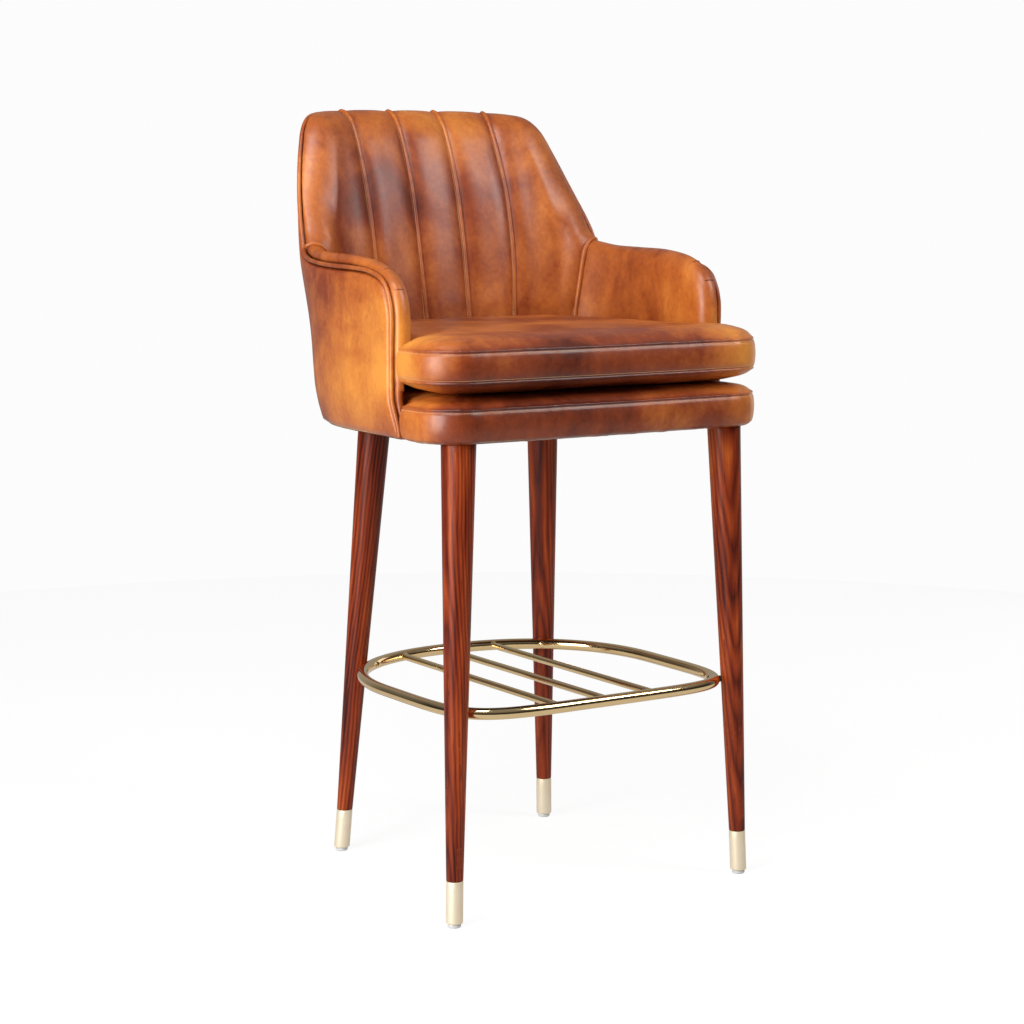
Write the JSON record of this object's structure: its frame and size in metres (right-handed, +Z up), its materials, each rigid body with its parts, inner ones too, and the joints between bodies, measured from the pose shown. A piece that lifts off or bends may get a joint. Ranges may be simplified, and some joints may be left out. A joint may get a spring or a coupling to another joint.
{
  "type": "bar stool with footrest",
  "caption": "Upholstered tub bar stool with a channelled back, low arms, a loose cushion, raked round wooden legs with metal tips and a tubular brass ring footrest.",
  "frame": {"origin": "on the floor at the middle of the stool's overall width and depth", "axes": "+Z up, the sitter faces -Y, +X to the right of someone looking at the stool's front"},
  "size_m": [0.544, 0.5366, 1.0765],
  "materials": {
    "leather": "hand rubbed tan leather with dark clouds and a satin sheen",
    "piping": "tan leather rolled over a cord",
    "rosewood": "red brown straight grained wood, satin lacquer",
    "polished_brass": "polished brass tube",
    "satin_brass": "pale satin brass",
    "zinc_steel": "zinc plated steel",
    "nylon": "grey white nylon",
    "plywood": "raw plywood",
    "lining_cloth": "black non-woven cloth",
    "fibre": "dark vulcanised fibre"
  },
  "bodies": {
    "root": {"arm_pad_left": "leather", "arm_pad_right": "leather", "arm_piping_left": "piping", "arm_piping_right": "piping", "back_channel_left_inner": "leather", "back_channel_left_outer": "leather", "back_channel_middle": "leather", "back_channel_right_inner": "leather", "back_channel_right_outer": "leather", "back_piping_inner_left": "piping", "back_piping_inner_right": "piping", "back_piping_outer_left": "piping", "back_piping_outer_right": "piping", "dust_cover": "lining_cloth", "edge_welt": "piping", "ferrule_back_left": "satin_brass", "ferrule_back_right": "satin_brass", "ferrule_front_left": "satin_brass", "ferrule_front_right": "satin_brass", "footrest_bar_left": "polished_brass", "footrest_bar_middle": "polished_brass", "footrest_bar_right": "polished_brass", "footrest_ring": "polished_brass", "footrest_screw_back_left": "polished_brass", "footrest_screw_back_right": "polished_brass", "footrest_screw_front_left": "polished_brass", "footrest_screw_front_right": "polished_brass", "footrest_spacer_back_left": "fibre", "footrest_spacer_back_right": "fibre", "footrest_spacer_front_left": "fibre", "footrest_spacer_front_right": "fibre", "glide_insert_back_left": "zinc_steel", "glide_insert_back_right": "zinc_steel", "glide_insert_front_left": "zinc_steel", "glide_insert_front_right": "zinc_steel", "leg_back_left": "rosewood", "leg_back_right": "rosewood", "leg_bolt_back_left": "zinc_steel", "leg_bolt_back_right": "zinc_steel", "leg_bolt_front_left": "zinc_steel", "leg_bolt_front_right": "zinc_steel", "leg_front_left": "rosewood", "leg_front_right": "rosewood", "leg_tee_nut_back_left": "zinc_steel", "leg_tee_nut_back_right": "zinc_steel", "leg_tee_nut_front_left": "zinc_steel", "leg_tee_nut_front_right": "zinc_steel", "seat_base_pad": "leather", "seat_board": "plywood", "shell_frame": "plywood", "shell_outer_cover": "leather", "shell_screw_back_left": "zinc_steel", "shell_screw_back_right": "zinc_steel", "shell_screw_front_left": "zinc_steel", "shell_screw_front_right": "zinc_steel"},
    "seat_cushion": {"seat_cushion": "leather"},
    "glide_front_left": {"glide_front_left": "nylon"},
    "glide_front_right": {"glide_front_right": "nylon"},
    "glide_back_left": {"glide_back_left": "nylon"},
    "glide_back_right": {"glide_back_right": "nylon"}
  },
  "joints": [
    {"name": "cushion_lift", "type": "slide", "parent": "root", "child": "seat_cushion", "axis": [0, 0, 1], "range_m": [0, 0.3]},
    {"name": "glide_level_front_left", "type": "slide", "parent": "root", "child": "glide_front_left", "axis": [-0.032, -0.03, -0.999], "range_m": [0, 0.008]},
    {"name": "glide_level_front_right", "type": "slide", "parent": "root", "child": "glide_front_right", "axis": [0.032, -0.03, -0.999], "range_m": [0, 0.008]},
    {"name": "glide_level_back_left", "type": "slide", "parent": "root", "child": "glide_back_left", "axis": [-0.0552, 0.0728, -0.9958], "range_m": [0, 0.008]},
    {"name": "glide_level_back_right", "type": "slide", "parent": "root", "child": "glide_back_right", "axis": [0.0552, 0.0728, -0.9958], "range_m": [0, 0.008]}
  ]
}
